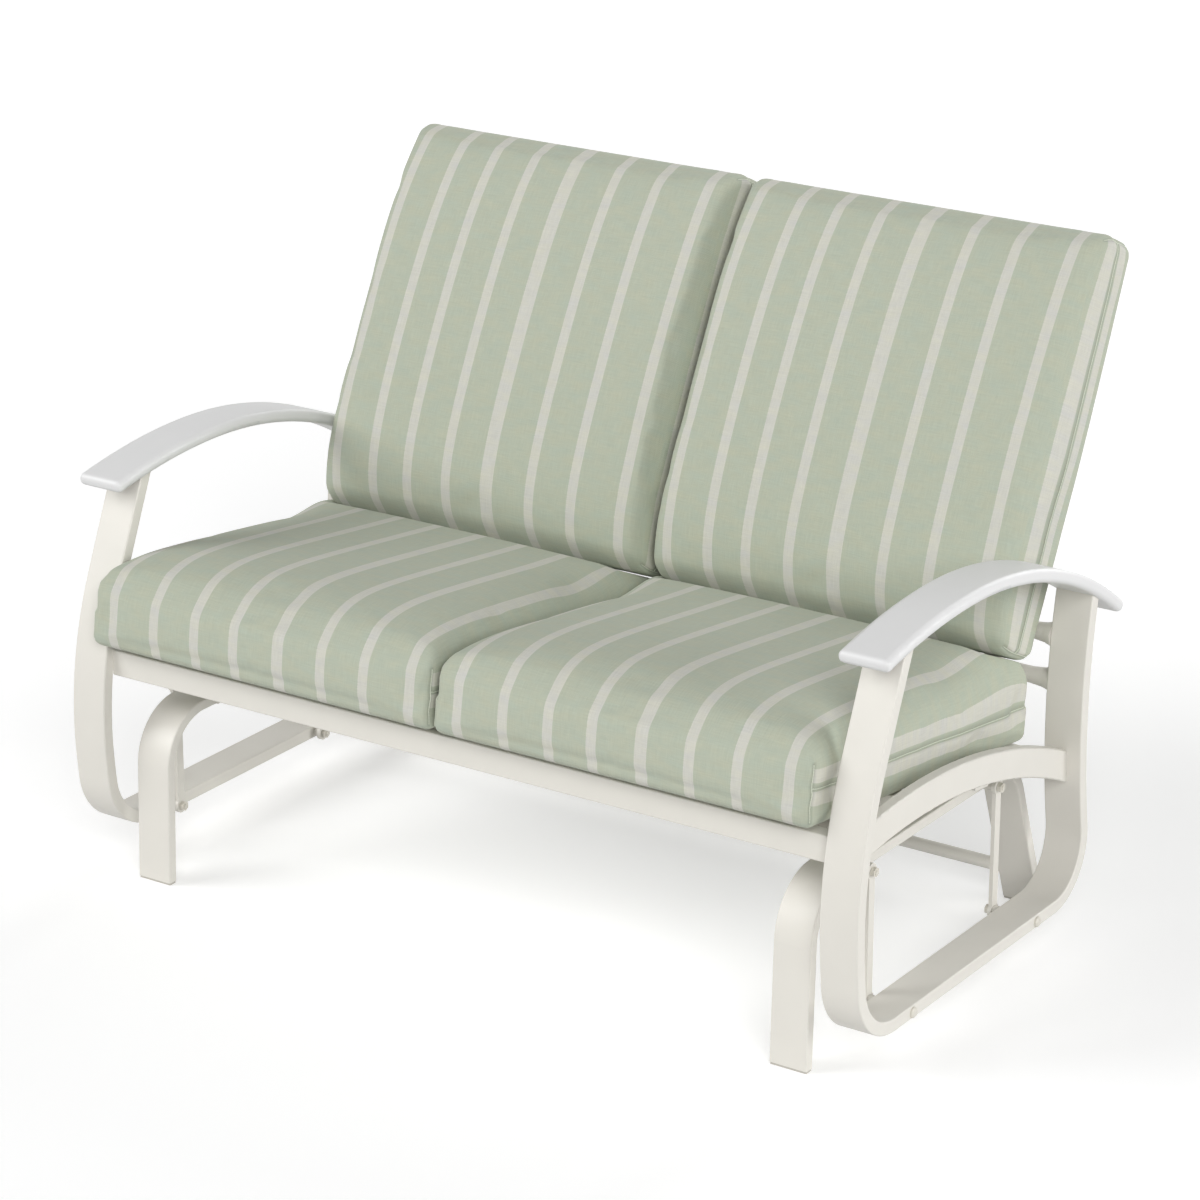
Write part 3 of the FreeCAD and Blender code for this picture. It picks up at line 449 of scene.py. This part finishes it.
def crowned(points, kind):
    """Raise the face by swell * (1 - e^(-f / a) - e^(-r / b)) * (1 - s * e^(-d / c)),
    where f, r and d are the distances to the front or lower edge, the rear or upper one
    and the nearer side, a, b and c their spreads and s the side's share, which fades
    towards the rear by the kind's level_rear. Points lower on the walls move in
    proportion to their height. The sides bulge by a parabola."""
    front, rear, sideways = kind["spread"]
    across, along = points[:, 0], np.clip(points[:, 1], -kind["half"], kind["half"])
    from_front = np.exp(-(along + kind["half"]) / front)
    from_rear = np.exp(-(kind["half"] - along) / rear)
    to_side = np.clip(kind["wide"] - np.abs(across), 0, None)
    levelled = kind["level_rear"] * eased((along - LEVEL_START) / LEVEL_RUN)
    from_side = kind["side_share"] * (1 - levelled) * np.exp(-to_side / sideways)
    share = np.clip(points[:, 2] / kind["edge"], 0, 1)
    rise = kind["swell"] * np.clip(1 - from_front - from_rear, 0, 1) * (1 - from_side)
    out = points.copy()
    out[:, 2] += share * rise
    out[:, 0] += kind["bulge"] * across / kind["wide"] * (1 - (along / kind["half"]) ** 2)
    return out


def filled(points, outward, quads, seams):
    """Blow the sewn cover up with cloth simulation, then limit how far each point goes.
    A part m of its move becomes cap * tanh(m / cap), with a cap for each way."""
    cover = new_piece("unfilled cover", points * MM, quads, cream, smooth=False)
    sewn = cover.vertex_groups.new(name="sewn")
    sewn.add(np.concatenate(seams).tolist(), 1.0, "REPLACE")
    stuffing = cover.modifiers.new("Stuffing", "CLOTH")
    cloth = stuffing.settings
    cloth.quality = 4
    cloth.mass = 0.3
    cloth.use_pressure = True
    cloth.uniform_pressure_force = 0.8
    cloth.tension_stiffness = 25
    cloth.compression_stiffness = 15
    cloth.shear_stiffness = 6
    cloth.bending_stiffness = 0.8
    cloth.vertex_group_shrink = "sewn"
    cloth.shrink_min = 0.0
    cloth.shrink_max = 0.02
    cloth.effector_weights.gravity = 0.0
    stuffing.point_cache.frame_start = 1
    stuffing.point_cache.frame_end = CLOTH_FRAMES
    for number in range(1, CLOTH_FRAMES + 1):
        scene.frame_set(number)
    blown = cover.evaluated_get(bpy.context.evaluated_depsgraph_get())
    moved = mesh_points(blown.to_mesh()) / MM - points
    blown.to_mesh_clear()
    bpy.data.meshes.remove(cover.data)
    scene.frame_set(1)
    out = (moved * outward).sum(1, keepdims=True)
    along = moved - out * outward
    length = np.linalg.norm(along, axis=1, keepdims=True) + 1e-9
    cap = np.where(out > 0, FILL_OUT, FILL_IN)
    slid = along * FILL_ALONG * np.tanh(length / FILL_ALONG) / length
    return points + outward * cap * np.tanh(out / cap) + slid


def eased(value):
    """0 up to 0, 1 from 1, and 3 t^2 - 2 t^3 between."""
    t = np.clip(value, 0, 1)
    return t * t * (3 - 2 * t)


def settle(points, kind, side):
    """Keep a filled cushion in its place: flat where it rests, against the cushion beside
    it, and between the side loops or the arms."""
    out = points.copy()
    out[:, 2] = np.maximum(out[:, 2], -kind["under"])
    at = kind["at"][side]
    middle = (SEAT["at"][-1] + SEAT["at"][1]) / 2 if kind is SEAT else 0.0
    inward = -side * (out[:, 0] + at - middle)
    out[:, 0] += side * np.clip(inward + MIDDLE_GAP, 0, None)
    if kind is SEAT:
        ahead = eased((POST_FRONT_Y - to_bench(out, kind, side)[:, 1] / MM) / POST_ROUNDING)
        limit = POST_INNER_X - abs(at) + SEAT_SWELL_OUT * ahead
    else:
        above = eased((out[:, 1] - ABOVE_ARMS_Y) / BACK_SWELL_RUN)
        limit = BACK_BETWEEN_ARMS + BACK_SWELL_OUT * above
    out[:, 0] -= side * np.clip(side * out[:, 0] - limit, 0, None)
    return out


def pressed(points, side):
    """Push the seat's face down out of the back cushion that stands on it, by how deep
    each point lies in the rounded box at the back cushion's foot, in a few short moves
    that leave a millimetre free. The foot's crown stands about 30 mm over its edges."""
    foot_crown, gap, longest_move, moves = 30.0, 1.0, 12.0, 6
    radius = BACK["rounding"]
    high = np.array([BACK["wide"], BACK["half"], BACK["edge"] + foot_crown]) - radius
    low = -np.array([BACK["wide"], BACK["half"], BACK["under"]]) + radius
    out = points.copy()
    for _ in range(moves):
        there = from_bench(to_bench(out, SEAT, side), BACK, side)
        away = there - np.clip(there, low, high)
        depth = radius + gap - np.linalg.norm(away, axis=1)
        out[:, 2] -= np.clip(depth, 0, longest_move) * (out[:, 2] > 0)
    return out


def seam_paths(cells, kind, grid):
    """The seams as rows of point numbers: along both sides and the rear or upper end at
    z = 0, and up each upright corner to where its seam ends at tuck_top."""
    count = [len(values) - 1 for values in grid]
    level = int(np.argmin(np.abs(grid[2])))
    top = int(np.argmin(np.abs(grid[2] - kind["tuck_top"])))
    foot = int(np.argmin(np.abs(grid[2] + kind["under"] - SEAM_FOOT)))
    paths = []
    for x_end in (0, count[0]):
        side = np.where((cells[:, 0] == x_end) & (cells[:, 2] == level))[0]
        paths.append(side[np.argsort(cells[side, 1])])
        for y_end in (0, count[1]):
            at_corner = (cells[:, 0] == x_end) & (cells[:, 1] == y_end)
            upright = np.where(at_corner & (cells[:, 2] >= foot) & (cells[:, 2] <= top))[0]
            paths.append(upright[np.argsort(cells[upright, 2])])
    rear = np.where((cells[:, 1] == count[1]) & (cells[:, 2] == level))[0]
    paths.append(rear[np.argsort(cells[rear, 0])])
    return paths


def resampled(path, spacing):
    """Points at equal steps along a line of points."""
    run = np.append(0, np.cumsum(np.linalg.norm(np.diff(path, axis=0), axis=1)))
    steps = np.linspace(0, run[-1], max(2, int(run[-1] / spacing)))
    return np.stack([np.interp(steps, run, path[:, n]) for n in range(3)], -1)


def stitched_cord(path, outward):
    """A sewn edge: a round cord carried along the path, whose radius r swells and
    narrows with each 4 mm stitch as r * (0.7 + 0.3 |sin|), and tapers off at its ends."""
    sides, steps_per_stitch = 6, 4
    path = resampled(path, 1.0 * MM)
    ahead = np.gradient(path, axis=0)
    ahead /= np.linalg.norm(ahead, axis=1, keepdims=True)
    across = np.cross(ahead, outward)
    across /= np.linalg.norm(across, axis=1, keepdims=True)
    up = np.cross(across, ahead)
    swell = np.abs(np.sin(np.arange(len(path)) * math.pi / steps_per_stitch))
    radius = CORD_RADIUS * MM * (0.7 + 0.3 * swell)
    radius[[0, -1]] = 0.1 * MM
    angle = (np.arange(sides) * 2 * math.pi / sides)[None, :, None]
    ring = np.cos(angle) * across[:, None] + np.sin(angle) * up[:, None]
    points = (path[:, None] + ring * radius[:, None, None]).reshape(-1, 3)
    row = np.arange(len(path) - 1)[:, None] * sides
    one = np.arange(sides)[None, :]
    two = (one + 1) % sides
    faces = np.stack([row + one, row + two, row + sides + two, row + sides + one], -1)
    return points, faces.reshape(-1, 4)


def seam_cord(line, kind, side):
    """The sewn cord on one seam, a little out of the cloth: at a side seam it stands out
    to that side, at the rear seam to the rear, and at an upright corner between the two."""
    mean_x, mean_y, _ = line.mean(0)
    at_rear = abs(mean_x) < 1.0
    upright = np.ptp(line[:, 2]) > 20.0
    outward = np.array([0.0, 1.0, 0.0] if at_rear else [math.copysign(1.0, mean_x), 0.0, 0.0])
    if upright:
        outward[1] += math.copysign(1.0, mean_y)
    lifted = line + outward / np.linalg.norm(outward) * CORD_LIFT
    placed = to_bench(np.vstack([lifted, lifted[:1] + outward]), kind, side)
    return stitched_cord(placed[:-1], placed[-1] - placed[0])


def joined(parts):
    """Several point and face arrays as one."""
    start = np.cumsum([0] + [len(points) for points, _ in parts])
    points = np.concatenate([points for points, _ in parts])
    faces = np.concatenate([faces + n for (_, faces), n in zip(parts, start)])
    return points, faces


def cut_and_filled(kind):
    """The form that both cushions of a kind share: its points in the cushion's axes, its
    quads and cloth lengths, and its seams."""
    points, outward, quads, lengths, cells, grid = rounded_box(kind)
    points = crowned(points, kind)
    seams = seam_paths(cells, kind, grid)
    points = filled(points, outward, quads, seams)
    return points, quads, lengths, seams


def cushion(name, form, kind, side, finish, thread):
    """One cushion: laid in its place, its seams drawn in and stitched."""
    points, quads, lengths, seams = form
    on_seam = np.zeros(len(points))
    on_seam[np.concatenate(seams)] = 1.0
    inward = -points / np.array([kind["wide"], kind["half"], kind["edge"]])
    inward[:, 2] = 0
    inward /= np.linalg.norm(inward, axis=1, keepdims=True) + 1e-9
    points = points + inward * (SEAM_DEPTH * on_seam)[:, None]
    points = settle(points, kind, side)
    if kind is SEAT:
        points = pressed(points, side)
    piece = new_piece(name, to_bench(points, kind, side), quads, finish)
    mesh = piece.data
    mesh.uv_layers.new(name="cloth").data.foreach_set("uv", (lengths * MM).ravel())
    # Painted shade: a mark of 1 on the seams, which darkens the cloth's colour there as the
    # shade in the creases.
    painted_seam_shade = mesh.attributes.new("painted_seam_shade", "FLOAT", "POINT")
    painted_seam_shade.data.foreach_set("value", on_seam)
    smooth = piece.modifiers.new("Rounded", "SUBSURF")
    smooth.levels = smooth.render_levels = 1
    body = "seat"
    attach(piece, body)
    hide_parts(name.replace("cover", "cushion"))
    cords = [seam_cord(points[path], kind, side) for path in seams]
    stitching = new_piece(name.replace("cover", "stitching"), *joined(cords), thread)
    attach(stitching, body)


# Finishes on the solids: a warm cream on the frame, the fixings painted in nearly the
# same cream, cooler grey arms, and pale nylon and polythene.

cream = powder_coat("satin cream powder coat", "#DFDCD4", 0.42)
fittings = powder_coat("painted zinc fittings", "#D6D2C7", 0.36)
arm_grey = moulded("moulded grey polymer", "#E0E0E0", 0.38, 0.5)
nylon = moulded("turned nylon", "#CFCCC4", 0.45, 0.4)
glides = moulded("moulded polythene glide", "#BDB9B0", 0.5, 0.6)
BY_SLOT = {
    "frame_paint": cream,
    "pivot_hardware": fittings,
    "arm_polymer": arm_grey,
    "spacer_nylon": nylon,
    "glide_plastic": glides,
}
for entry in frame["record"]["subparts"]:
    finish = BY_SLOT.get(entry["material_slot"])
    if finish:
        node = frame["nodes"][entry["node"]]
        node.data.materials.clear()
        node.data.materials.append(finish)

# Cushions: the seat and the back each have their own weave, because their stripes fall
# at different places.

seat_weave = striped_weave("striped acrylic weave, seat", SEAT_STRIPES)
back_weave = striped_weave("striped acrylic weave, back", BACK_STRIPES)
thread = sewing_thread("bonded sewing thread", "#D2D8C6")
seat_form, back_form = cut_and_filled(SEAT), cut_and_filled(BACK)
for side_name, side in (("left", -1), ("right", 1)):
    cushion(f"seat_cover_{side_name}", seat_form, SEAT, side, seat_weave, thread)
    cushion(f"back_cover_{side_name}", back_form, BACK, side, back_weave, thread)

# Floor, light and camera


def seen_directly(tree):
    """1 for rays from the camera and for reflections, 0 for those that carry light."""
    path = add(tree, "LightPath").outputs
    rays = {0: path["Is Camera Ray"], 1: path["Is Glossy Ray"]}
    return add(tree, "Math", rays, operation="MAXIMUM").outputs[0]


def studio_floor():
    """A plain white floor under and behind the bench, seen as white with a pale shadow."""
    made, tree = material("matt white floor")
    matt = add(tree, "BsdfDiffuse", {"Color": (0.8, 0.8, 0.8, 1)}).outputs[0]
    glow = add(tree, "Emission", {"Color": (1, 1, 1, 1), "Strength": 0.37}).outputs[0]
    paler = add(tree, "AddShader", {0: matt, 1: glow}).outputs[0]
    close(tree, add(tree, "MixShader", {0: seen_directly(tree), 1: matt, 2: paler}))
    reach = 40.0
    ends = ((-1, -1, 0), (1, -1, 0), (1, 1, 0), (-1, 1, 0))
    one_quad = np.array([[0, 1, 2, 3]])
    floor = new_piece("floor", reach * np.array(ends), one_quad, made, smooth=False)


def studio_world():
    """A white surround, seen as plain white, that lights the bench only weakly."""
    world = bpy.data.worlds.new("studio")
    scene.world = world
    world.use_nodes = True
    tree = world.node_tree
    tree.nodes.clear()
    level = add(tree, "MapRange", {0: seen_directly(tree), 3: 0.1, 4: 1.0}).outputs[0]
    light = add(tree, "Background", {"Color": (1, 1, 1, 1), "Strength": level})
    add(tree, "OutputWorld", {"Surface": light.outputs[0]})


def soft_lamp(name, level, azimuth, elevation):
    """A wide, even studio lamp far off in a direction given in degrees, where azimuth 0
    stands in front of the bench and 90 at its +X end. At level 1 a white surface that
    faces it alone renders as white."""
    lamp = bpy.data.lights.new(name, "SUN")
    lamp.energy = level * math.pi
    lamp.angle = math.radians(35.0)
    made = bpy.data.objects.new(name, lamp)
    made.rotation_euler = (math.radians(90 - elevation), 0.0, math.radians(azimuth))
    scene.collection.objects.link(made)


def photo_camera():
    """The camera where the photograph was taken, fitted to the bench's straight edges:
    124 mm on a 36 mm square frame, about 6.1 m from the bench."""
    azimuth, elevation = math.radians(33.948), math.radians(20.315)
    lens = bpy.data.cameras.new("camera")
    lens.lens = 124.257
    lens.sensor_width = 36.0
    lens.clip_end = 200.0
    camera = bpy.data.objects.new("camera", lens)
    camera.location = (3.17928, -4.75471, 2.56109)
    camera.rotation_euler = (math.pi / 2 - elevation, 0.0, azimuth)
    scene.collection.objects.link(camera)
    scene.camera = camera


studio_floor()
studio_world()
soft_lamp("left lamp", level=0.57, azimuth=-50.0, elevation=29.0)
soft_lamp("right lamp", level=0.54, azimuth=42.0, elevation=30.0)
soft_lamp("side lamp", level=0.54, azimuth=108.0, elevation=8.0)
soft_lamp("rear lamp", level=0.3, azimuth=180.0, elevation=22.0)
photo_camera()
scene.view_settings.view_transform = "Standard"
